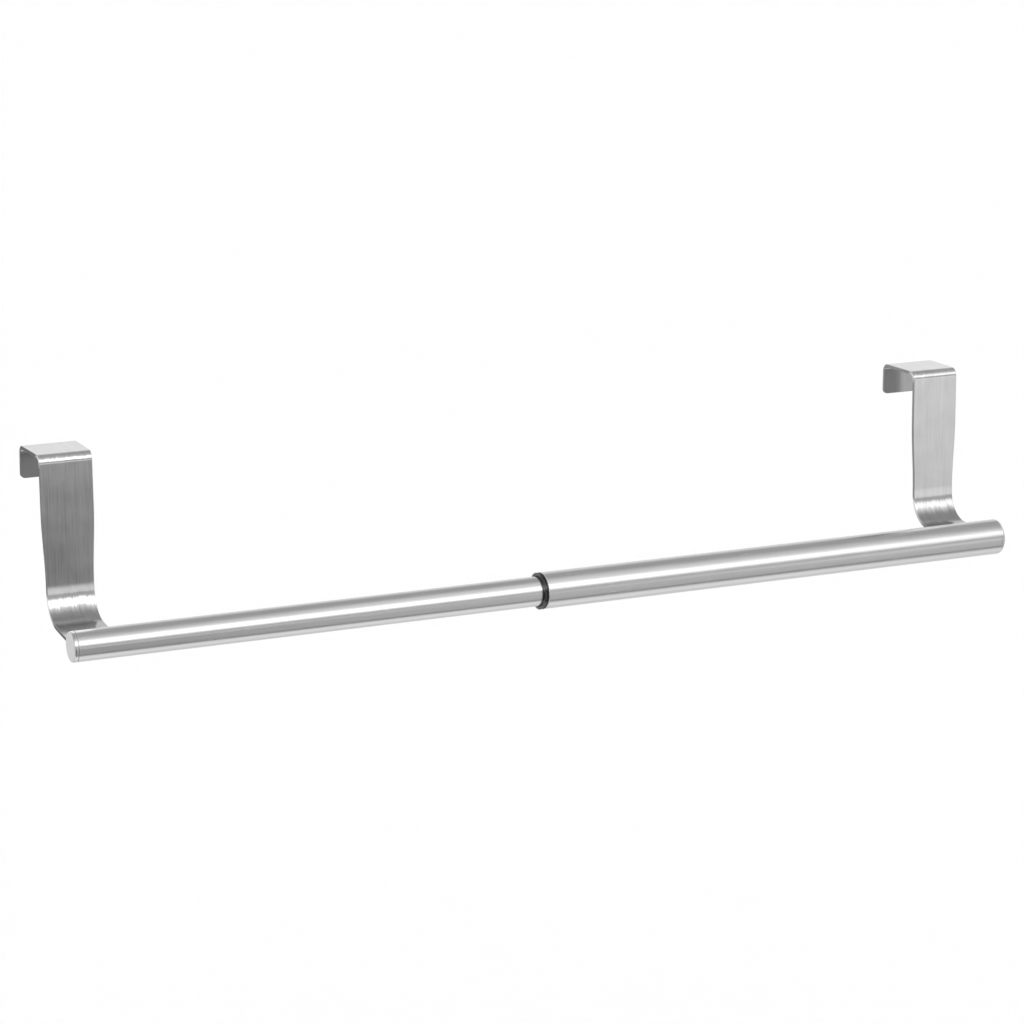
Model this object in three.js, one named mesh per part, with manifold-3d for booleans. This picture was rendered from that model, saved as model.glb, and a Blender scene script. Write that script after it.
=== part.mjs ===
// An over-door rail. Two bent strap hooks hang on the top edge of a door and carry a rod in front of it.
// The rod telescopes: a thin tube slides and turns inside a thicker one, so the hooks can be set apart.
// Millimetres. X runs along the rod, -Y faces the person who uses it and +Z is up. The origin is the middle
// of the underside of the right hook's web, which is the face that rests on the door.

import * as THREE from "three";
import { mergeVertices } from "three/addons/utils/BufferGeometryUtils.js";
import Module from "manifold-3d";

// Rod
const railLength = 432;
const outerTubeDiameter = 15.6;
const innerTubeDiameter = 12.7;
const outerTubeLength = 223.3;
const outerTubeWall = 0.6;
const innerTubeWall = 0.6;
const tubeEdgeBreak = 0.15;

// End caps
const capHeadThickness = 1.8;
const leftCapEdgeRadius = 0.6;
const rightCapEdgeRadius = 1.2;
const capPlugLength = 8;
const capPlugWall = 1.1;
const capPlugChamfer = 0.5;
const capSeam = 0.15;
const plugClearance = 0.12;

// Collar in the mouth of the outer tube
const collarFlangeWidth = 1.8;
const collarProud = 0.05;
const collarChamfer = 0.22;
const collarGrooveWidth = 0.5;
const collarGrooveDepth = 0.4;
const collarSleeveLength = 22;
const collarSeam = 0.15;
const sleeveClearance = 0.15;
const runningClearance = 0.25;

// Bush on the hidden end of the inner tube
const bushFlangeLength = 3;
const bushFlangeChamfer = 0.5;
const bushSpigotLength = 10;
const bushWall = 1.2;
const bushEndClearance = 0.3;

// Strap hooks
const strapThickness = 1.5;
const strapEdgeBreak = 0.2;
const lipWidth = 23.6;
const legWidth = 22.1;
const footWidth = 20;
const doorGap = 23.5;
const lipHeight = 14;
const lipCornerRadius = 2;
const hookDrop = 72;
const topBendRadius = 3.5;
const standOff = 30;
const footBendRadius = 12;
const footDroop = THREE.MathUtils.degToRad(6);
const footRise = 1.6;
const leftHookInset = 10.2;
const rightHookInset = 15.15;
const weldGap = 0.3;
const cutOverrun = 2;

// The leg keeps its full width down to this share of its length, and then narrows to the foot
const legFullWidthShare = 0.4;

// Facets
const aroundRod = 72;
const edgeSteps = 6;
const topBendSteps = 8;
const footBendSteps = 18;
const legSteps = 12;
const lipSteps = 4;

// Sizes that follow from those above
const outerRadius = outerTubeDiameter / 2;
const innerRadius = innerTubeDiameter / 2;
const outerBore = outerRadius - outerTubeWall;
const innerBore = innerRadius - innerTubeWall;
const rodAxisY = -(doorGap / 2 + strapThickness + standOff);
const rodAxisZ = strapThickness - hookDrop;
const rightEnd = rightHookInset;
const leftEnd = rightEnd - railLength;
const leftHookX = leftEnd + leftHookInset;
const outerTubeEnd = rightEnd - capHeadThickness - capSeam;
const mouth = outerTubeEnd - outerTubeLength;
const collarFront = mouth - collarSeam - collarFlangeWidth;
const sleeveEnd = mouth + collarSleeveLength;
const innerTubeStart = leftEnd + capHeadThickness + capSeam;
const innerTubeLength = sleeveEnd - innerTubeStart;

const steel = { color: 0xc4c4c4, metalness: 1, roughness: 0.32 };
const blackPlastic = { color: 0x161616, metalness: 0, roughness: 0.45 };

const wasm = await Module();
wasm.setup();

// A closed geometry as a solid that can be cut.
function solidOf(geometry) {
  const bare = geometry.clone();
  bare.deleteAttribute("normal");
  bare.deleteAttribute("uv");
  const merged = mergeVertices(bare);
  const vertProperties = merged.attributes.position.array;
  const triVerts = new Uint32Array(merged.index.array);
  return new wasm.Manifold(new wasm.Mesh({ numProp: 3, vertProperties, triVerts }));
}

// The geometry of a solid that has been cut.
function geometryOf(solid) {
  const mesh = solid.getMesh();
  const geometry = new THREE.BufferGeometry();
  geometry.setAttribute("position", new THREE.BufferAttribute(mesh.vertProperties, 3));
  geometry.setIndex(new THREE.BufferAttribute(mesh.triVerts, 1));
  geometry.computeVertexNormals();
  return geometry;
}

// A profile of (radius, distance) points turned about the X axis.
function turned(profile) {
  const geometry = new THREE.LatheGeometry(profile, aroundRod);
  geometry.rotateZ(-Math.PI / 2);
  return geometry;
}

// Points of a quarter round between a face and a side, both included.
function roundedEdge(radius, side, face) {
  const points = [];
  for (let i = 0; i <= edgeSteps; i++) {
    const angle = (i / edgeSteps) * (Math.PI / 2);
    points.push(
      new THREE.Vector2(
        side - radius + radius * Math.sin(angle),
        face + radius - radius * Math.cos(angle),
      ),
    );
  }
  return points;
}

// A tube from zero to its length, with the burr taken off the edges of both cuts.
function tubeGeometry(radius, bore, length) {
  const cut = tubeEdgeBreak;
  return turned([
    new THREE.Vector2(bore, cut),
    new THREE.Vector2(bore + cut, 0),
    new THREE.Vector2(radius - cut, 0),
    new THREE.Vector2(radius, cut),
    new THREE.Vector2(radius, length - cut),
    new THREE.Vector2(radius - cut, length),
    new THREE.Vector2(bore + cut, length),
    new THREE.Vector2(bore, length - cut),
    new THREE.Vector2(bore, cut),
  ]);
}

// An end cap with its face at zero: a round head that closes the tube and a hollow plug behind it.
function capGeometry(radius, bore, edgeRadius) {
  const plug = bore - plugClearance;
  const plugEnd = capHeadThickness + capPlugLength;
  return turned([
    new THREE.Vector2(0, 0),
    ...roundedEdge(edgeRadius, radius, 0),
    new THREE.Vector2(radius, capHeadThickness),
    new THREE.Vector2(plug, capHeadThickness),
    new THREE.Vector2(plug, plugEnd - capPlugChamfer),
    new THREE.Vector2(plug - capPlugChamfer, plugEnd),
    new THREE.Vector2(plug - capPlugWall, plugEnd),
    new THREE.Vector2(plug - capPlugWall, capHeadThickness),
    new THREE.Vector2(0, capHeadThickness),
  ]);
}

// The collar with its front at zero: a grooved flange over the tube's end and a thin sleeve in its bore.
function collarGeometry() {
  const bore = innerRadius + runningClearance;
  const flange = outerRadius + collarProud;
  const sleeve = outerBore - sleeveClearance;
  const groove = flange - collarGrooveDepth;
  const grooveStart = (collarFlangeWidth - collarGrooveWidth) / 2;
  const end = collarFlangeWidth + collarSeam + collarSleeveLength;
  return turned([
    new THREE.Vector2(bore, 0),
    new THREE.Vector2(flange - collarChamfer, 0),
    new THREE.Vector2(flange, collarChamfer),
    new THREE.Vector2(flange, grooveStart),
    new THREE.Vector2(groove, grooveStart),
    new THREE.Vector2(groove, grooveStart + collarGrooveWidth),
    new THREE.Vector2(flange, grooveStart + collarGrooveWidth),
    new THREE.Vector2(flange, collarFlangeWidth - collarChamfer),
    new THREE.Vector2(flange - collarChamfer, collarFlangeWidth),
    new THREE.Vector2(sleeve, collarFlangeWidth),
    new THREE.Vector2(sleeve, end),
    new THREE.Vector2(bore, end),
    new THREE.Vector2(bore, 0),
  ]);
}

// The bush with the start of its flange at zero and its spigot on the minus side, in the inner tube. The
// flange is too wide for the collar's bore, so it stops the inner tube from being pulled out.
function bushGeometry() {
  const spigot = innerBore - runningClearance;
  const flange = outerBore - runningClearance;
  const hole = spigot - bushWall;
  return turned([
    new THREE.Vector2(hole, -bushSpigotLength),
    new THREE.Vector2(spigot - bushFlangeChamfer, -bushSpigotLength),
    new THREE.Vector2(spigot, bushFlangeChamfer - bushSpigotLength),
    new THREE.Vector2(spigot, 0),
    new THREE.Vector2(flange, 0),
    new THREE.Vector2(flange, bushFlangeLength - bushFlangeChamfer),
    new THREE.Vector2(flange - bushFlangeChamfer, bushFlangeLength),
    new THREE.Vector2(hole, bushFlangeLength),
    new THREE.Vector2(hole, -bushSpigotLength),
  ]);
}

// A path in the side view, walked from a start along straight runs and arcs. Each station keeps its place,
// its heading and the length walked so far.
class SidePath {
  constructor(y, z, heading) {
    this.stations = [{ y, z, heading, walked: 0 }];
  }

  get last() {
    return this.stations[this.stations.length - 1];
  }

  // A straight run with a station at the end of each length in the list.
  line(lengths) {
    for (const length of lengths) {
      const { y, z, heading, walked } = this.last;
      this.stations.push({
        y: y + length * Math.cos(heading),
        z: z + length * Math.sin(heading),
        heading,
        walked: walked + length,
      });
    }
    return this;
  }

  // An arc of this radius. A turn above zero goes to the left of the walk.
  arc(radius, turn, steps) {
    const { y, z, heading, walked } = this.last;
    const side = Math.sign(turn) * radius;
    for (let i = 1; i <= steps; i++) {
      const angle = (turn * i) / steps;
      this.stations.push({
        y: y + side * (Math.sin(heading + angle) - Math.sin(heading)),
        z: z - side * (Math.cos(heading + angle) - Math.cos(heading)),
        heading: heading + angle,
        walked: walked + radius * Math.abs(angle),
      });
    }
    return this;
  }
}

// A length cut into equal steps.
function equalSteps(length, steps) {
  return Array(steps).fill(length / steps);
}

// Steps that grow along a quarter round, so that a rounded corner gets even facets.
function cornerSteps(radius) {
  const places = [];
  for (let i = 0; i <= edgeSteps; i++) {
    places.push(radius * (1 - Math.cos((i / edgeSteps) * (Math.PI / 2))));
  }
  return places.slice(1).map((place, i) => place - places[i]);
}

// The middle of the strap from the end of the lip, over the door, down the leg and forward to the tube.
// It also tells where the leg starts and how long it is, because the width of the strap follows that.
function strapPath(tubeRadius) {
  const bend = topBendRadius - strapThickness / 2;
  const footBend = footBendRadius + strapThickness / 2;
  const legY = -(doorGap + strapThickness) / 2;
  const lipRun = lipHeight - strapThickness / 2 - bend - lipCornerRadius;
  const contactY = rodAxisY + Math.sqrt(tubeRadius ** 2 - footRise ** 2);
  const reach = legY - contactY;
  const cornerZ = rodAxisZ + footRise + reach * Math.tan(footDroop);
  const turn = Math.PI / 2 - footDroop;
  const tangent = footBend * Math.tan(turn / 2);
  const legLength = strapThickness / 2 - bend - cornerZ - tangent;
  const footLength = reach / Math.cos(footDroop) - tangent + cutOverrun;
  const path = new SidePath(-legY, strapThickness - lipHeight, Math.PI / 2)
    .line(cornerSteps(lipCornerRadius))
    .line(equalSteps(lipRun, lipSteps))
    .arc(bend, Math.PI / 2, topBendSteps)
    .line([doorGap + strapThickness - 2 * bend])
    .arc(bend, Math.PI / 2, topBendSteps);
  const legStart = path.last.walked;
  path.line(equalSteps(legLength, legSteps)).arc(footBend, -turn, footBendSteps).line([footLength]);
  return { stations: path.stations, legStart, legLength };
}

// Half the strap's width at a station: widest at the lip, steady down the upper leg, narrower at the foot,
// and drawn in round the lip's corners.
function halfWidth(walked, legStart, legLength) {
  const down = THREE.MathUtils.smoothstep(
    walked,
    legStart + legFullWidthShare * legLength,
    legStart + legLength,
  );
  const upper = THREE.MathUtils.lerp(lipWidth, legWidth, Math.min(walked / legStart, 1));
  const half = THREE.MathUtils.lerp(upper, footWidth, down) / 2;
  const short = Math.max(lipCornerRadius - walked, 0);
  return half - lipCornerRadius + Math.sqrt(lipCornerRadius ** 2 - short ** 2);
}

// A strap bent to shape: a flat section with its sharp edges broken, carried along the path, with the end
// of the foot cut to the round of the tube that it is welded to.
function strapGeometry(tubeRadius) {
  const { stations, legStart, legLength } = strapPath(tubeRadius);
  const half = strapThickness / 2;
  const vertices = [];
  for (const { y, z, heading, walked } of stations) {
    const wide = halfWidth(walked, legStart, legLength);
    const section = [
      [-wide, half - strapEdgeBreak],
      [strapEdgeBreak - wide, half],
      [wide - strapEdgeBreak, half],
      [wide, half - strapEdgeBreak],
      [wide, strapEdgeBreak - half],
      [wide - strapEdgeBreak, -half],
      [strapEdgeBreak - wide, -half],
      [-wide, strapEdgeBreak - half],
    ];
    for (const [across, out] of section) {
      vertices.push(across, y + out * Math.sin(heading), z - out * Math.cos(heading));
    }
  }
  const ring = vertices.length / 3 / stations.length;
  const indices = [];
  for (let row = 0; row < stations.length - 1; row++) {
    for (let i = 0; i < ring; i++) {
      const here = row * ring + i;
      const next = row * ring + ((i + 1) % ring);
      indices.push(here, next + ring, next, here, here + ring, next + ring);
    }
  }
  const lastRing = (stations.length - 1) * ring;
  for (let i = 1; i < ring - 1; i++) {
    indices.push(0, i, i + 1);
    indices.push(lastRing, lastRing + i + 1, lastRing + i);
  }
  const blank = new THREE.BufferGeometry();
  blank.setAttribute("position", new THREE.Float32BufferAttribute(vertices, 3));
  blank.setIndex(indices);
  const cutter = new THREE.CylinderGeometry(
    tubeRadius + weldGap,
    tubeRadius + weldGap,
    lipWidth + cutOverrun,
    aroundRod,
  );
  cutter.rotateZ(Math.PI / 2);
  cutter.translate(0, rodAxisY, rodAxisZ);
  return geometryOf(solidOf(blank).subtract(solidOf(cutter)));
}

function named(name, geometry, finish) {
  const mesh = new THREE.Mesh(geometry, new THREE.MeshStandardMaterial(finish));
  mesh.name = name;
  return mesh;
}

const rail = new THREE.Group();

const leftStrap = named("left_strap", strapGeometry(innerRadius), steel);
leftStrap.position.x = leftHookX;
const rightStrap = named("right_strap", strapGeometry(outerRadius), steel);
rail.add(leftStrap, rightStrap);

const rod = new THREE.Group();
rod.position.set(0, rodAxisY, rodAxisZ);
rail.add(rod);

const innerTube = named("inner_tube", tubeGeometry(innerRadius, innerBore, innerTubeLength), steel);
innerTube.position.x = innerTubeStart;
const outerTube = named("outer_tube", tubeGeometry(outerRadius, outerBore, outerTubeLength), steel);
outerTube.position.x = mouth;
const leftCap = named("left_end_cap", capGeometry(innerRadius, innerBore, leftCapEdgeRadius), steel);
leftCap.position.x = leftEnd;
const rightCap = named("right_end_cap", capGeometry(outerRadius, outerBore, rightCapEdgeRadius), steel);
rightCap.position.x = rightEnd;
rightCap.rotation.z = Math.PI;
const collar = named("mouth_collar", collarGeometry(), blackPlastic);
collar.position.x = collarFront;
const bush = named("tail_bush", bushGeometry(), blackPlastic);
bush.position.x = sleeveEnd + bushEndClearance;
rod.add(innerTube, outerTube, leftCap, rightCap, collar, bush);

export default rail;
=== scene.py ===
"""Looks of an over-door telescoping rail: brushed steel tubes and strap hooks with black moulded bushings."""
import math

import bpy
import numpy as np
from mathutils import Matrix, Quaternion, Vector


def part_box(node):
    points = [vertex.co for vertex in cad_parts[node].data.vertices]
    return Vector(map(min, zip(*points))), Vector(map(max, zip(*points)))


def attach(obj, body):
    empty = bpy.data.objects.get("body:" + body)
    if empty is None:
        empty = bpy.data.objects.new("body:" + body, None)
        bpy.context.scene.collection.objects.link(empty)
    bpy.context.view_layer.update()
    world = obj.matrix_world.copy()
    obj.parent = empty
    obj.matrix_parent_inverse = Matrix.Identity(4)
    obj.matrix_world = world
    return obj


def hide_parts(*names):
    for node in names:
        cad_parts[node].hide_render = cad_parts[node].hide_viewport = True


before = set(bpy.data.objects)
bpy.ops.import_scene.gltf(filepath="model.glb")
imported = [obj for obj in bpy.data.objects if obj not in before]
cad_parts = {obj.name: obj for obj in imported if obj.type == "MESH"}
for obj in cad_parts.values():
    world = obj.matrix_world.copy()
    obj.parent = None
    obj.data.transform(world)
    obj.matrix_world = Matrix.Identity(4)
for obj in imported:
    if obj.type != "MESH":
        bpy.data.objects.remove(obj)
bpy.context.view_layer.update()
mm = 0.001


# Outer tube
# The thick half of the rod: a welded stainless tube with a satin finish, brushed along its length. Its left
# end is cut square and takes the black collar, and its right end is closed by a cap.
mouth_edge = 0.28 * mm
tight_edge = 0.12 * mm
tube_wall = 0.6 * mm
bare_margin = 0.01 * mm
around_rod = 192
steel_tone = 0.66
line_height = 0.004 * mm
wide_line_share = 0.6
line_gloss = 0.4
cloud_gloss = 0.2
raw_gloss = 0.35
outer_low, outer_high = np.array(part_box("outer_tube"))
outer_radius = (outer_high[2] - outer_low[2]) / 2
rod_axis = ((outer_low + outer_high) / 2)[1:]


def softened(corners, radii, closed=True, steps=6, hold=0.04 * mm):
    """A profile with each corner rounded by its own radius.

    At a corner P with unit directions u and v to its neighbours, the arc's centre lies along u + v at radius
    over the sine of half the angle, and its points turn evenly from one tangent point to the other. A hold
    point just outside each tangent point keeps the shading of the flat next to it flat. An open profile
    keeps its first and last corner as they are.
    """
    points = np.array(corners, float)
    radii = np.broadcast_to(np.array(radii, float), len(points))[:, None]
    before = np.roll(points, 1, axis=0) - points
    after = np.roll(points, -1, axis=0) - points
    u = before / np.linalg.norm(before, axis=1, keepdims=True)
    v = after / np.linalg.norm(after, axis=1, keepdims=True)
    half = np.arccos(np.clip((u * v).sum(axis=1, keepdims=True), -1, 1)) / 2
    reach = radii / np.tan(half)
    middle = u + v
    centre = points + middle / np.linalg.norm(middle, axis=1, keepdims=True) * radii / np.sin(half)
    start = points + u * reach - centre
    end = points + v * reach - centre
    swing = (math.pi - 2 * half)[:, None, :]
    k = np.linspace(0, 1, steps + 1)[None, :, None]
    arc = (start[:, None] * np.sin((1 - k) * swing) + end[:, None] * np.sin(k * swing)) / np.sin(swing)
    arc = centre[:, None] + arc
    first = (points + u * (reach + hold))[:, None]
    last = (points + v * (reach + hold))[:, None]
    rounded = np.concatenate([first, arc, last], axis=1)
    if closed:
        return rounded.reshape(-1, 2)
    return np.concatenate([points[:1], rounded[1:-1].reshape(-1, 2), points[-1:]])


def grid_faces(rows, columns, wrap_rows):
    """Quads between neighbouring rows and columns. The columns close on themselves, and the rows may."""
    row = np.arange(rows if wrap_rows else rows - 1)[:, None]
    column = np.arange(columns)[None, :]
    next_row = (row + 1) % rows
    next_column = (column + 1) % columns
    corners = (row * columns + column, row * columns + next_column,
               next_row * columns + next_column, next_row * columns + column)
    return np.stack([np.broadcast_to(c, (row.size, columns)) for c in corners], axis=-1).reshape(-1, 4)


def smooth_piece(name, points, faces, finish_and_painted_light=None):
    """A shaded-smooth mesh object with these points and faces, in the part's frame. finish_and_painted_light
    is a value for each point: 1 where the steel is brushed, less where it is raw, dull or carries painted
    shade, and more where it carries a painted highlight."""
    mesh = bpy.data.meshes.new(name)
    mesh.from_pydata(points.tolist(), [], faces)
    mesh.shade_smooth()
    mesh.update()
    if finish_and_painted_light is not None:
        mesh.attributes.new("finish_and_painted_light", "FLOAT", "POINT").data.foreach_set("value", finish_and_painted_light.astype(np.float32))
    piece = bpy.data.objects.new(name, mesh)
    bpy.context.scene.collection.objects.link(piece)
    return piece


def turned(name, profile, closed=True, finish_and_painted_light=None):
    """A profile of (x, radius) turned about the rod's axis: y and z are the axis plus the radius times the
    cosine and the sine of the angle. An open profile starts and ends on the axis, where it gets one point.
    finish_and_painted_light has a value for each point of a closed profile."""
    angle = np.linspace(0, 2 * math.pi, around_rod, endpoint=False)
    x, radius = (column[:, None] for column in profile.T)
    y = rod_axis[0] + radius * np.cos(angle)
    z = rod_axis[1] + radius * np.sin(angle)
    rows = np.stack([np.broadcast_to(x, y.shape), y, z], axis=-1)
    if closed:
        faces = grid_faces(len(profile), around_rod, True).tolist()
        around = None if finish_and_painted_light is None else np.repeat(finish_and_painted_light, around_rod)
        return smooth_piece(name, rows.reshape(-1, 3), faces, around)
    body = rows[1:-1].reshape(-1, 3)
    poles = np.array([[profile[0, 0], *rod_axis], [profile[-1, 0], *rod_axis]])
    here = np.arange(around_rod)
    there = (here + 1) % around_rod
    base = len(body) - around_rod
    start_fan = np.stack([np.full(around_rod, len(body)), there, here], axis=-1)
    end_fan = np.stack([np.full(around_rod, len(body) + 1), base + here, base + there], axis=-1)
    faces = grid_faces(len(profile) - 2, around_rod, False).tolist()
    return smooth_piece(name, np.concatenate([body, poles]), faces + start_fan.tolist() + end_fan.tolist())


class Knob:
    """A shader socket that can be used in sums: an operator adds the Math node of that name. Without a socket
    it only makes nodes."""

    def __init__(self, tree, socket=None):
        self.tree = tree
        self.socket = socket

    def node(self, kind, settings=None, output=0, **inputs):
        """A node of this kind. Its settings are set first, then the values or links of its sockets, which go
        by name, or by i and a number. The output goes by name or number too."""
        made = self.tree.nodes.new(kind)
        for key, value in (settings or {}).items():
            setattr(made, key, value)
        for key, value in inputs.items():
            label = key.replace("_", " ")
            socket = made.inputs[int(key[1:])] if key[1:].isdigit() else made.inputs[label]
            if isinstance(value, Knob):
                self.tree.links.new(value.socket, socket)
            else:
                socket.default_value = value
        return Knob(self.tree, made.outputs[output])

    def maths(self, operation, a, b=0.0, c=0.0):
        return self.node("ShaderNodeMath", {"operation": operation}, i0=a, i1=b, i2=c)

    def __add__(self, other):
        return self.maths("ADD", self, other)

    def __radd__(self, other):
        return self.maths("ADD", other, self)

    def __sub__(self, other):
        return self.maths("SUBTRACT", self, other)

    def __rsub__(self, other):
        return self.maths("SUBTRACT", other, self)

    def __mul__(self, other):
        return self.maths("MULTIPLY", self, other)

    def __rmul__(self, other):
        return self.maths("MULTIPLY", other, self)

    def span(self, low, high):
        """Zero at low, one at high, smooth between them."""
        return self.node("ShaderNodeMapRange", {"interpolation_type": "SMOOTHSTEP"},
                         Value=self, From_Min=low, From_Max=high)

    def noise(self, scale, detail, roughness):
        """A cloudy pattern of values round a half, with this many clouds to the unit of these coordinates."""
        return self.node("ShaderNodeTexNoise", {"noise_dimensions": "3D"},
                         Vector=self, Scale=scale, Detail=detail, Roughness=roughness)

    def sway(self, amount):
        """The amount times how far a noise is from its middle value, a half."""
        return amount * (self - 0.5)


def new_material(name):
    """A material, its Principled shader and a knob that holds the object's coordinates."""
    material = bpy.data.materials.new(name)
    material.use_nodes = True
    tree = material.node_tree
    return material, tree.nodes["Principled BSDF"], Knob(tree).node("ShaderNodeTexCoord", output="Object")


def coat(shader, tone, gloss, dents):
    """Links a grey tone, a roughness and dents to the shader."""
    colour = tone.node("ShaderNodeCombineColor", Red=tone, Green=tone, Blue=tone)
    for label, knob in {"Base Color": colour, "Roughness": gloss, "Normal": dents}.items():
        tone.tree.links.new(knob.socket, shader.inputs[label])


def brushed_steel(name, line_scale, roughness, line_depth=0.5, line_tone=0.2, cloud_tone=0.06, raw_and_painted_tone=None):
    """Stainless steel with brush lines. line_scale holds the lines per metre along x, y and z: small along
    the stroke and large across it. The lines tip the surface a little and change its tone and gloss, and so
    do faint clouds, a centimetre wide. Where the finish_and_painted_light attribute falls from 1 to 0, the
    tone goes evenly to raw_and_painted_tone times the brushed one, and the roughness grows with the cube of
    the fall. That attribute carries painted shade and painted highlights as well as raw steel, and a tone
    above 1 paints a highlight."""
    material, shader, place = new_material(name)
    lines = place.node("ShaderNodeMapping", Vector=place, Scale=line_scale)
    fine = lines.noise(scale=1.0, detail=3.0, roughness=0.7)
    wide = lines.noise(scale=0.22, detail=2.0, roughness=0.5)
    cloud = place.noise(scale=100.0, detail=2.0, roughness=0.5)
    light = steel_tone * (1 + fine.sway(line_tone) + wide.sway(line_tone / 2) + cloud.sway(cloud_tone))
    gloss = roughness * (1 + fine.sway(line_gloss) + cloud.sway(cloud_gloss))
    # The tone change below carries painted shade and painted highlights as well as raw steel.
    if raw_and_painted_tone is not None:
        raw_and_painted = 1 - place.node("ShaderNodeAttribute", {"attribute_name": "finish_and_painted_light"}, output="Fac")
        light = light * (1 - (1 - raw_and_painted_tone) * raw_and_painted)
        gloss = gloss + raw_gloss * raw_and_painted * raw_and_painted * raw_and_painted
    dents = place.node("ShaderNodeBump", Strength=line_depth, Distance=line_height,
                       Height=fine + wide_line_share * wide)
    coat(shader, light, gloss, dents)
    shader.inputs["Metallic"].default_value = 1.0
    return material


def dress(piece, material, node, body):
    """The piece gets its material, stands for the CAD node and rides on that node's body."""
    piece.data.materials.append(material)
    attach(piece, body)
    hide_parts(node)


def tube(name, low, high, radius, low_edge, high_edge):
    """A tube from low to high along x, with the burr taken off both of its cut ends. The edge of the low end
    is bare of the satin finish and painted lighter: a painted highlight."""
    bore = radius - tube_wall
    corners = [(low, bore), (low, radius), (high, radius), (high, bore)]
    profile = softened(corners, [tight_edge, low_edge, high_edge, tight_edge], steps=5)
    brushed = profile[:, 0] > low + low_edge + bare_margin
    return turned(name, profile, finish_and_painted_light=brushed.astype(float))


# A raw tone above 1 paints the tubes' bare end edges lighter than the steel: a painted highlight.
tube_steel = brushed_steel("tube_steel", line_scale=(60.0, 1900.0, 1900.0), roughness=0.25, raw_and_painted_tone=1.35)
outer_tube = tube("outer_tube_satin", outer_low[0], outer_high[0], outer_radius, mouth_edge, tight_edge)
dress(outer_tube, tube_steel, "outer_tube", "outer_half")


# Inner tube
# The thin half of the rod, of the same brushed stainless tube. It slides and turns in the outer tube, and
# nearly all of it hides there when the rod is pushed together.
inner_low, inner_high = np.array(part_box("inner_tube"))
inner_radius = (inner_high[2] - inner_low[2]) / 2
inner_tube = tube("inner_tube_satin", inner_low[0], inner_high[0], inner_radius, tight_edge, tight_edge)
dress(inner_tube, tube_steel, "inner_tube", "inner_half")


# End caps
# A turned steel button closes each end: a flat head as wide as the tube, with a rounded rim, and a hollow
# plug that is pressed into the bore. A hairline seam shows where the left head meets its tube, and the right
# one is pressed home and shows none.
left_cap_head = 1.8 * mm
cap_plug_wall = 1.1 * mm
cap_plug_chamfer = 0.5 * mm
cap_plug_clearance = 0.12 * mm
left_rim_radius = 0.75 * mm
right_rim_radius = 1.2 * mm
back_edge = 0.12 * mm


def end_cap(name, face, seat, plug_end, radius, rim):
    """A cap with its flat face at x = face, its shoulder at seat and its plug from there to plug_end."""
    plug = radius - tube_wall - cap_plug_clearance
    hollow = plug - cap_plug_wall
    corners = [(face, 0), (face, radius), (seat, radius), (seat, plug),
               (plug_end, plug), (plug_end, hollow), (seat, hollow), (seat, 0)]
    radii = [back_edge, rim, back_edge, back_edge, cap_plug_chamfer, back_edge, back_edge, back_edge]
    profile = softened(corners, radii, closed=False, steps=8)
    if face > seat:
        profile = profile[::-1]
    return turned(name, profile, closed=False)


cap_steel = brushed_steel("cap_steel", line_scale=(900.0, 900.0, 900.0), roughness=0.24, line_depth=0.2,
                          line_tone=0.1)
left_low, left_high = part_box("left_end_cap")
left_cap = end_cap("left_end_button", left_low[0], left_low[0] + left_cap_head, left_high[0],
                   inner_radius, left_rim_radius)
dress(left_cap, cap_steel, "left_end_cap", "inner_half")
right_low, right_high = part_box("right_end_cap")
right_cap = end_cap("right_end_button", right_high[0], outer_high[0], right_low[0],
                    outer_radius, right_rim_radius)
dress(right_cap, cap_steel, "right_end_cap", "outer_half")


# Mouth collar
# A black moulded ring in the mouth of the outer tube. Its flange covers the cut edge and has a wide groove
# between two narrow ridges, and its thin sleeve grips the inner tube.
collar_low, collar_high = np.array(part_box("mouth_collar"))
collar_radius = (collar_high[2] - collar_low[2]) / 2
collar_flange = 1.8 * mm
collar_groove_width = 0.9 * mm
collar_groove_depth = 0.5 * mm
collar_bore_clearance = 0.25 * mm
sleeve_clearance = 0.15 * mm
ridge_round = 0.18 * mm
groove_round = 0.25 * mm
moulded_edge = 0.12 * mm
grain_height = 0.004 * mm
grain_depth = 0.3
grain_tone = 0.35
grain_gloss = 0.25
patch_tone = 0.25
patch_gloss = 0.15
plastic_shine = 0.85


def moulded_plastic(name, tone, roughness):
    """Black moulded plastic: a dark, slightly uneven skin with the fine grain that a mould leaves."""
    material, shader, place = new_material(name)
    grain = place.noise(scale=4200.0, detail=2.0, roughness=0.6)
    patch = place.noise(scale=260.0, detail=2.0, roughness=0.5)
    dark = tone * (1 + grain.sway(grain_tone) + patch.sway(patch_tone))
    gloss = roughness * (1 + grain.sway(grain_gloss) + patch.sway(patch_gloss))
    dents = place.node("ShaderNodeBump", Strength=grain_depth, Distance=grain_height, Height=grain)
    coat(shader, dark, gloss, dents)
    shader.inputs["Specular IOR Level"].default_value = plastic_shine
    return material


collar_bore = inner_radius + collar_bore_clearance
sleeve_radius = outer_radius - tube_wall - sleeve_clearance
collar_face = collar_low[0]
groove_start = collar_face + (collar_flange - collar_groove_width) / 2
groove_end = groove_start + collar_groove_width
flange_back = collar_face + collar_flange
groove_floor = collar_radius - collar_groove_depth
collar_corners = [
    (collar_face, collar_bore), (collar_face, collar_radius),
    (groove_start, collar_radius), (groove_start, groove_floor),
    (groove_end, groove_floor), (groove_end, collar_radius),
    (flange_back, collar_radius), (flange_back, sleeve_radius),
    (collar_high[0], sleeve_radius), (collar_high[0], collar_bore),
]
collar_radii = [moulded_edge, ridge_round, ridge_round, groove_round, groove_round, ridge_round,
                ridge_round, moulded_edge, moulded_edge, moulded_edge]
black_plastic = moulded_plastic("black_plastic", tone=0.004, roughness=0.11)
collar = turned("collar_ring", softened(collar_corners, collar_radii, hold=0.01 * mm))
dress(collar, black_plastic, "mouth_collar", "outer_half")


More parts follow.
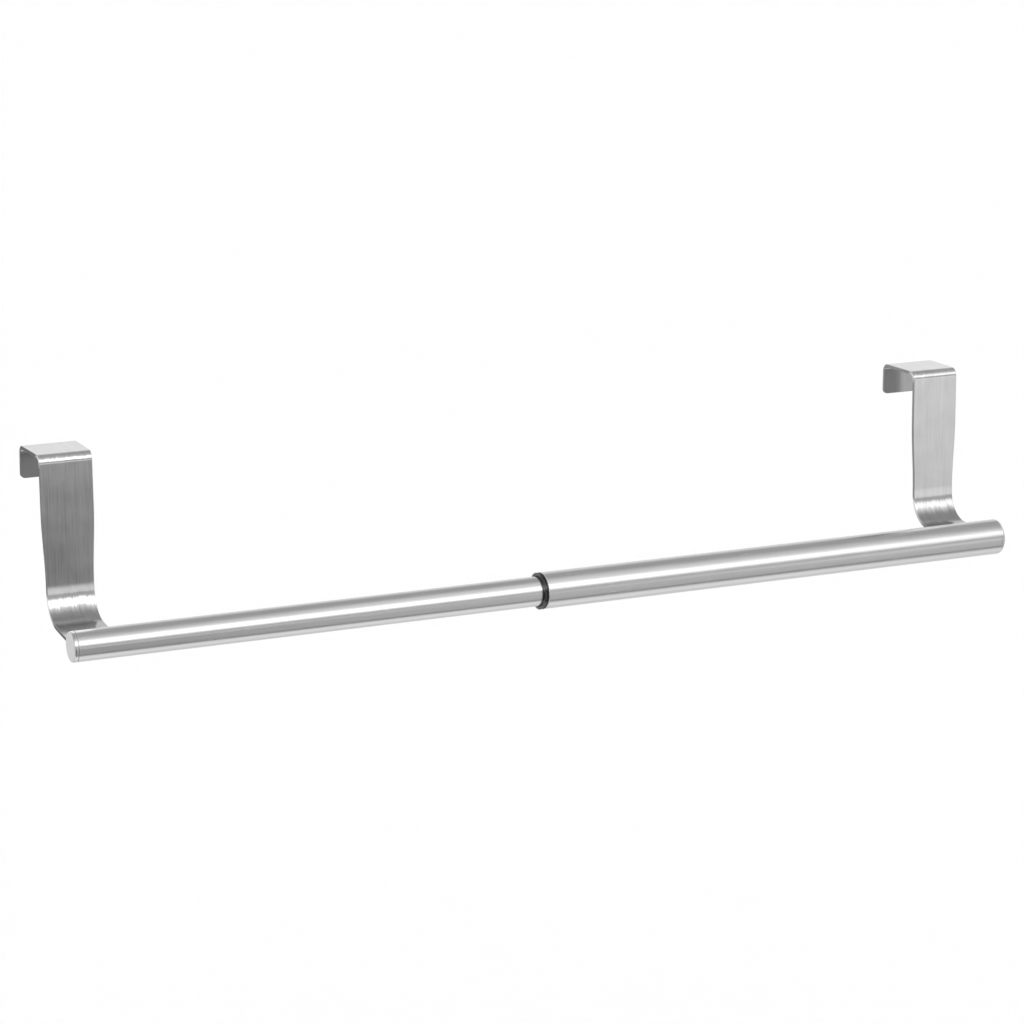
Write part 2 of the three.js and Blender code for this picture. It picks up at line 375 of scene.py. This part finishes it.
# Tail bush
# A black moulded plug on the hidden end of the inner tube. Its flange keeps that end in the middle of the
# outer tube and stops against the collar's sleeve, so the rod can't be pulled apart.
bush_low, bush_high = np.array(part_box("tail_bush"))
bush_radius = (bush_high[2] - bush_low[2]) / 2
bush_flange = 3 * mm
bush_clearance = 0.25 * mm
bush_wall = 1.2 * mm
bush_edge = 0.5 * mm
bush_spigot = inner_radius - tube_wall - bush_clearance
bush_hole = bush_spigot - bush_wall
bush_shoulder = bush_high[0] - bush_flange
bush_corners = [
    (bush_low[0], bush_hole), (bush_low[0], bush_spigot), (bush_shoulder, bush_spigot),
    (bush_shoulder, bush_radius), (bush_high[0], bush_radius), (bush_high[0], bush_hole),
]
bush_radii = [moulded_edge, bush_edge, moulded_edge, moulded_edge, bush_edge, moulded_edge]
bush = turned("tail_plug", softened(bush_corners, bush_radii))
dress(bush, black_plastic, "tail_bush", "tail_slider")


# Strap hooks
# Each hook is one strip of stainless sheet, brushed along its length and bent on a press: a back lip, a web
# that rests on the door, a leg that narrows downwards and a foot that is welded to the back of the tube.
strap_thickness = 1.5 * mm
strap_edge = 0.2 * mm
lip_width = 23.6 * mm
leg_width = 22.1 * mm
foot_width = 20 * mm
door_gap = 23.5 * mm
lip_height = 14 * mm
lip_corner = 2 * mm
top_bend = 3.5 * mm
foot_bend = 12 * mm
foot_droop = math.radians(6)
foot_rise = 1.6 * mm
lead_radius = 46 * mm
lead_turn = math.radians(5)
leg_full_share = 0.4
station_step = 0.25 * mm
end_rows = 6
foot_rows = 24


def bent_path(start, heading, lengths, turns, walked):
    """Places and headings on a path of straight runs and arcs, at these lengths walked from its start.

    Within a run of curvature k, the heading grows by k times the length, and the chord from the run's start
    is the length times the sinc of half the angle turned, along the heading in the middle of the chord.
    """
    lengths = np.array(lengths)
    bends = np.array(turns) / lengths
    begin = np.concatenate([[0], np.cumsum(lengths)[:-1]])
    begin_heading = heading + np.concatenate([[0], np.cumsum(turns)[:-1]])

    def chord(length, run):
        swing = bends[run] * length
        reach = length * np.sinc(swing / (2 * math.pi))
        aim = begin_heading[run] + swing / 2
        return np.stack([reach * np.cos(aim), reach * np.sin(aim)], axis=-1)

    corners = np.cumsum(chord(lengths, np.arange(len(lengths))), axis=0)
    corners = np.array(start) + np.concatenate([[[0, 0]], corners[:-1]])
    run = np.clip(np.searchsorted(begin, walked, side="right") - 1, 0, len(lengths) - 1)
    rest = walked - begin[run]
    return corners[run] + chord(rest, run), begin_heading[run] + bends[run] * rest


def strap_runs(tube_radius):
    """Where the middle of the sheet starts, and the lengths and turns of its runs: lip, back bend, web, front
    bend, leg, a slight lead into the foot's bend, and that bend. The foot droops and meets the tube foot_rise
    above its axis. The leg ends before the corner of leg and foot by the tangent of the two arcs: for a whole
    turn t that begins with s at radius R and goes on at r, it is r - R cos t + (R - r) cos(t - s), all over
    sin t."""
    bend = top_bend - strap_thickness / 2
    low_bend = foot_bend + strap_thickness / 2
    leg_y = -(door_gap + strap_thickness) / 2
    turn = math.pi / 2 - foot_droop
    contact = rod_axis[0] + math.sqrt(tube_radius ** 2 - foot_rise ** 2)
    corner_z = rod_axis[1] + foot_rise + (leg_y - contact) * math.tan(foot_droop)
    lip_run = lip_height - strap_thickness / 2 - bend
    web_run = door_gap + strap_thickness - 2 * bend
    tangent = low_bend - lead_radius * math.cos(turn) + (lead_radius - low_bend) * math.cos(turn - lead_turn)
    leg_run = strap_thickness / 2 - bend - corner_z - tangent / math.sin(turn)
    lengths = [lip_run, bend * math.pi / 2, web_run, bend * math.pi / 2, leg_run, lead_radius * lead_turn,
               low_bend * (turn - lead_turn)]
    turns = [0, math.pi / 2, 0, math.pi / 2, 0, -lead_turn, lead_turn - turn]
    return (-leg_y, strap_thickness - lip_height), lengths, turns


def strap_section():
    """The rounded rectangle of the strip as signs and offsets: the half width and half thickness, less the
    edge radius, are multiplied by the signs, and the offsets run round the edges."""
    corners = [(-1, 1), (1, 1), (1, -1), (-1, -1)]
    box = softened(corners, strap_edge / strap_thickness * 2, steps=5, hold=0.05)
    signs = np.repeat(np.array(corners, float), len(box) // 4, axis=0)
    return signs, (box - signs) * strap_thickness / 2 + signs * strap_edge


def eased(share):
    """Zero below 0, one above 1, and three times the square less twice the cube between them."""
    share = np.clip(share, 0, 1)
    return share * share * (3 - 2 * share)


def half_width(walked, leg_start, leg_length):
    """Half the width of the strip: it falls evenly from the lip to the leg, stays, and narrows smoothly to
    the foot. A quarter circle draws it in at the end of the lip."""
    down = eased((walked - leg_start - leg_full_share * leg_length) / ((1 - leg_full_share) * leg_length))
    upper = lip_width + (leg_width - lip_width) * np.minimum(walked / leg_start, 1)
    half = (upper + (foot_width - upper) * down) / 2
    short = np.maximum(lip_corner - walked, 0)
    return half - lip_corner + np.sqrt(lip_corner ** 2 - short ** 2)


# The finish of the hooks, with painted light in it: 1 is the brushed face. The shares are of the foot bend's
# length. The left hook's raw edges are painted darker than the right one's, which is painted shade. The inner
# face and the foot next to the tube carry painted shade, and the edges in the bends a painted highlight.
left_edge_finish_and_shade = 0.0
right_edge_finish = 0.25
bent_edge_highlight = 1.17
inner_face_shade = 0.59
foot_painted_shade = 0.66
highlight_fade_in_share = 0.1
highlight_fade_out_share = 0.2
highlight_end_share = 0.9
foot_shade_start_share = 0.3
foot_shade_fade_share = 0.3
top_highlight_before = 2 * mm
top_highlight_reach = 4 * mm


def strap_finish_and_painted_light(signs, offsets, walked, lengths, edge_finish_and_shade):
    """The finish over the strip, with painted light in it, for each length walked and each point of the
    section. It is 1 on the brushed face, less on the face that lies against the door, as painted shade, and
    edge_finish_and_shade on the raw edges, which a painted highlight lightens in the bends. A painted shade
    darkens the foot from the middle of its bend on, next to the tube."""
    side = np.clip(np.abs(offsets[:, 0]) / strap_edge, 0, 1) ** 4
    # The face against the door is painted darker: painted shade inside the hook.
    face = 1 + (inner_face_shade - 1) * (1 - signs[:, 1]) / 2
    bend_start = sum(lengths) - lengths[-1]
    share = np.clip((walked - bend_start) / lengths[-1], 0, 1)
    # From the middle of the foot's bend on, the foot is painted darker: painted shade next to the tube.
    foot_shade = eased((share - foot_shade_start_share) / foot_shade_fade_share)[:, None]
    # The raw edges are painted lighter in the foot's bend and around the top bend: a painted highlight.
    fade_in = np.clip(share / highlight_fade_in_share, 0, 1)
    fade_out = np.clip((highlight_end_share - share) / highlight_fade_out_share, 0, 1)
    top_middle = sum(lengths[:4]) - top_highlight_before
    top = np.clip(1 - np.abs(walked - top_middle) / top_highlight_reach, 0, 1)
    edge_highlight = np.maximum(fade_in * fade_out, top)[:, None]
    edge = edge_finish_and_shade + (bent_edge_highlight - edge_finish_and_shade) * edge_highlight
    return (face + (edge - face) * side) * (1 - (1 - foot_painted_shade) * foot_shade)


def foot_to_tube(ring, heading, tube_radius):
    """The rows that carry the last ring of points straight on to the tube. From a point p, measured from the
    rod's axis, the way along the unit heading a to the round is minus the product p·a, less the root of that
    product squared minus p squared plus the radius squared."""
    aim = np.array([math.cos(heading), math.sin(heading)])
    offset = ring[:, 1:] - rod_axis
    along = offset @ aim
    reach = -along - np.sqrt(along ** 2 - (offset ** 2).sum(axis=1) + tube_radius ** 2)
    share = np.linspace(0, 1, foot_rows + 1)[1:, None]
    x = np.broadcast_to(ring[:, 0], (foot_rows, len(ring)))
    return np.stack([x, ring[:, 1] + share * reach * aim[0], ring[:, 2] + share * reach * aim[1]], axis=-1)


def strap(name, middle, tube_radius, edge_finish_and_shade):
    """The section carried along the bent path, from the end of the lip to the foot's bend, and then straight
    on to the tube. Its points lie across the strip along x, and out of the path along the normal, which is
    the sine and minus the cosine of the heading. The end of the lip is rounded by the edge radius too: there
    the section shrinks by an inset that follows a quarter circle."""
    start, lengths, turns = strap_runs(tube_radius)
    total = sum(lengths)
    round_end = strap_edge * (1 - np.cos(np.linspace(0, math.pi / 2, end_rows + 1)[:-1]))
    walked = np.concatenate([round_end, np.linspace(strap_edge, total, int(total / station_step))])
    path, heading = bent_path(start, math.pi / 2, lengths, turns, walked)
    half = half_width(walked, sum(lengths[:4]), lengths[4])
    inset = strap_edge - np.sqrt(strap_edge ** 2 - np.maximum(strap_edge - walked, 0) ** 2)
    signs, offsets = strap_section()
    across = signs[:, 0] * (half[:, None] - strap_edge) + offsets[:, 0] - signs[:, 0] * inset[:, None]
    out = signs[:, 1] * (strap_thickness / 2 - strap_edge) + offsets[:, 1] - signs[:, 1] * inset[:, None]
    y = path[:, :1] + out * np.sin(heading)[:, None]
    z = path[:, 1:] - out * np.cos(heading)[:, None]
    rows = np.stack([middle + across, y, z], axis=-1)
    rows = np.concatenate([rows, foot_to_tube(rows[-1], heading[-1], tube_radius)])
    walked = np.concatenate([walked, np.full(foot_rows, total)])
    finish_and_painted_light = strap_finish_and_painted_light(signs, offsets, walked, lengths, edge_finish_and_shade)
    count, ring = rows.shape[:2]
    faces = grid_faces(count, ring, False)[:, ::-1].tolist()
    faces.append(list(range(ring)))
    faces.append(list(range(count * ring - 1, (count - 1) * ring - 1, -1)))
    return smooth_piece(name, rows.reshape(-1, 3), faces, finish_and_painted_light.reshape(-1))


def open_strokes(material, stroke_scale, most_turn):
    """Bending a brushed strip about the x axis opens its strokes. Below the brush lines, the normal turns
    about that axis by a noise with one value for each stroke, times most_turn, times the sine of twice the
    slope: that sine is 1 in the middle of a bend and 0 on the flats."""
    tree = material.node_tree
    place = Knob(tree).node("ShaderNodeTexCoord", output="Object")
    facing = place.node("ShaderNodeTexCoord", output="Normal")
    y, z = (facing.node("ShaderNodeSeparateXYZ", output=axis, Vector=facing) for axis in "YZ")
    bend = 2 * place.maths("ABSOLUTE", y * z)
    strokes = place.node("ShaderNodeMapping", Vector=place, Scale=stroke_scale)
    stroke = strokes.noise(scale=1.0, detail=2.0, roughness=0.6)
    normal = place.node("ShaderNodeNewGeometry", output="Normal")
    opened = place.node("ShaderNodeVectorRotate", {"rotation_type": "X_AXIS"}, Vector=normal,
                        Angle=bend * stroke.sway(most_turn))
    tree.links.new(opened.socket, tree.nodes["Bump"].inputs["Normal"])


strap_steel = brushed_steel("strap_steel", line_scale=(1800.0, 45.0, 45.0), roughness=0.14, line_tone=0.24,
                            cloud_tone=0.2, raw_and_painted_tone=0.2)
open_strokes(strap_steel, stroke_scale=(1700.0, 100.0, 100.0), most_turn=0.4)
# The left hook's raw edges get a darker value than the right one's: painted shade.
hooks = {
    "left_strap": (inner_radius, left_edge_finish_and_shade, "inner_half"),
    "right_strap": (outer_radius, right_edge_finish, "outer_half"),
}
for node, (radius, edge_finish_and_shade, body) in hooks.items():
    low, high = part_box(node)
    hook = strap(node + "_sheet", (low[0] + high[0]) / 2, radius, edge_finish_and_shade)
    dress(hook, strap_steel, node, body)


# Studio
# A white sweep lies below and behind the rail. The metal also mirrors what stands in front of it: a long
# softbox above eye level, a dimmer ceiling over it and a dim room below it.
floor_drop = 0.36
floor_half = 6.0
wall_back = 3.0
sweep_curve = 0.8
curve_points = 24
sweep_tone = 1.0
room_tone = 1.0
back_wall_tone = 0.96


def sweep():
    """The floor and the wall behind it as one sheet: a quarter circle joins them."""
    level = rod_axis[1] - floor_drop
    angle = np.linspace(0, math.pi / 2, curve_points)
    y = np.concatenate([[-floor_half], wall_back - sweep_curve + sweep_curve * np.sin(angle), [wall_back]])
    z = np.concatenate([[level], level + sweep_curve - sweep_curve * np.cos(angle), [level + floor_half]])
    x = np.array([-floor_half, floor_half])
    points = np.stack([np.tile(x, len(y)), np.repeat(y, 2), np.repeat(z, 2)], axis=-1)
    row = np.arange(len(y) - 1) * 2
    return smooth_piece("sweep", points, np.stack([row, row + 1, row + 3, row + 2], axis=-1).tolist())


paper, paper_shader, _ = new_material("sweep_paper")
paper_shader.inputs["Base Color"].default_value = (sweep_tone, sweep_tone, sweep_tone, 1)
paper_shader.inputs["Roughness"].default_value = 1.0
paper_shader.inputs["Specular IOR Level"].default_value = 0.0
backdrop = sweep()
backdrop.data.materials.append(paper)
backdrop.visible_glossy = False

world = bpy.data.worlds.new("studio")
bpy.context.scene.world = world
world.use_nodes = True
sky = world.node_tree
sky.nodes.clear()
ray = Knob(sky).node("ShaderNodeTexCoord", output="Generated")
way_x, way_y, way_z = (ray.node("ShaderNodeSeparateXYZ", output=axis, Vector=ray) for axis in "XYZ")
turn = way_z.maths("ARCTAN2", way_z, -1.0 * way_y) * math.degrees(1)


def hung(studio, tone, low, high, soft=4.0, left=None, right=None, fade=0.04):
    """The studio with one more panel in front of what is there. It covers the rays that turn about the rod
    by low to high degrees and lean along it by left to right: its cover is the product of a smooth step at
    each edge, which reaches soft degrees, or the lean fade, to both sides. A turn of -90 is straight down, 0
    level in front and 90 straight up, and a lean is the sine of the ray's angle to the right."""
    cover = turn.span(low - soft, low + soft) * (1 - turn.span(high - soft, high + soft))
    if left is not None:
        cover = cover * way_x.span(left - fade, left + fade)
    if right is not None:
        cover = cover * (1 - way_x.span(right - fade, right + fade))
    return ray.node("ShaderNodeMix", {"data_type": "FLOAT"}, i0=cover, i2=studio, i3=tone)


# Ceiling, the part of it that the softbox lights, and the lit paper below the rail with its dimmer back part
studio = hung(back_wall_tone, tone=0.46, low=64, high=140, soft=15)
studio = hung(studio, tone=1.05, low=54, high=84, soft=12, left=0.32, right=0.46)
studio = hung(studio, tone=1.1, low=-100, high=-74, soft=8, right=0.5)
studio = hung(studio, tone=0.82, low=-165, high=-104, soft=8)
# Room in front, below and above eye level, and the dark front edge of the table
studio = hung(studio, tone=0.66, low=-68, high=-4)
studio = hung(studio, tone=0.52, low=-4, high=18)
studio = hung(studio, tone=0.22, low=-65, high=-54)
# Dark screens in front to the left, with a slit of light between them, and a white screen to the right
studio = hung(studio, tone=0.15, low=-54, high=1, left=-0.62, right=0.1, fade=0.08)
studio = hung(studio, tone=0.36, low=-54, high=-20, left=0.1, right=0.31, fade=0.03)
studio = hung(studio, tone=0.14, low=-20, high=-6, soft=2, left=0.1, right=0.31, fade=0.03)
studio = hung(studio, tone=1.0, low=-11, high=-3, soft=1.5, left=0.1, right=0.31, fade=0.03)
studio = hung(studio, tone=1.0, low=-14, high=0, left=0.46)
# Long softbox, brightest in its middle part, and the pale side wall on the right
studio = hung(studio, tone=1.5, low=23, high=48, soft=6)
studio = hung(studio, tone=2.35, low=19, high=44.5, soft=10, left=-0.62, right=0.46)
studio = hung(studio, tone=0.64, low=-300, high=24, soft=6, left=0.66)
studio = hung(studio, tone=0.95, low=24, high=130, soft=6, left=0.66)
seen = ray.node("ShaderNodeLightPath", output="Is Glossy Ray")
strength = seen * studio + (1.0 - seen) * room_tone
glow = ray.node("ShaderNodeBackground", Strength=strength, Color=(1, 1, 1, 1))
world_out = sky.nodes.new("ShaderNodeOutputWorld")
sky.links.new(glow.socket, world_out.inputs["Surface"])


# Camera
# It stands to the left of the rail and a little above it, far off with a long lens, as the photograph does.
eye = Vector((-792.8 * mm, -1300.3 * mm, 278.6 * mm))
aim_point = Vector((-223.48 * mm, -43.19 * mm, -35.1 * mm))
camera_roll = math.radians(-0.487)
focal_length = 118.96
lens = bpy.data.cameras.new("camera")
lens.lens = focal_length
lens.sensor_width = 36
camera = bpy.data.objects.new("camera", lens)
bpy.context.scene.collection.objects.link(camera)
camera.location = eye
camera.rotation_mode = "QUATERNION"
camera.rotation_quaternion = (aim_point - eye).to_track_quat("-Z", "Y") @ Quaternion((0, 0, 1), camera_roll)
bpy.context.scene.camera = camera
bpy.context.scene.view_settings.view_transform = "Standard"
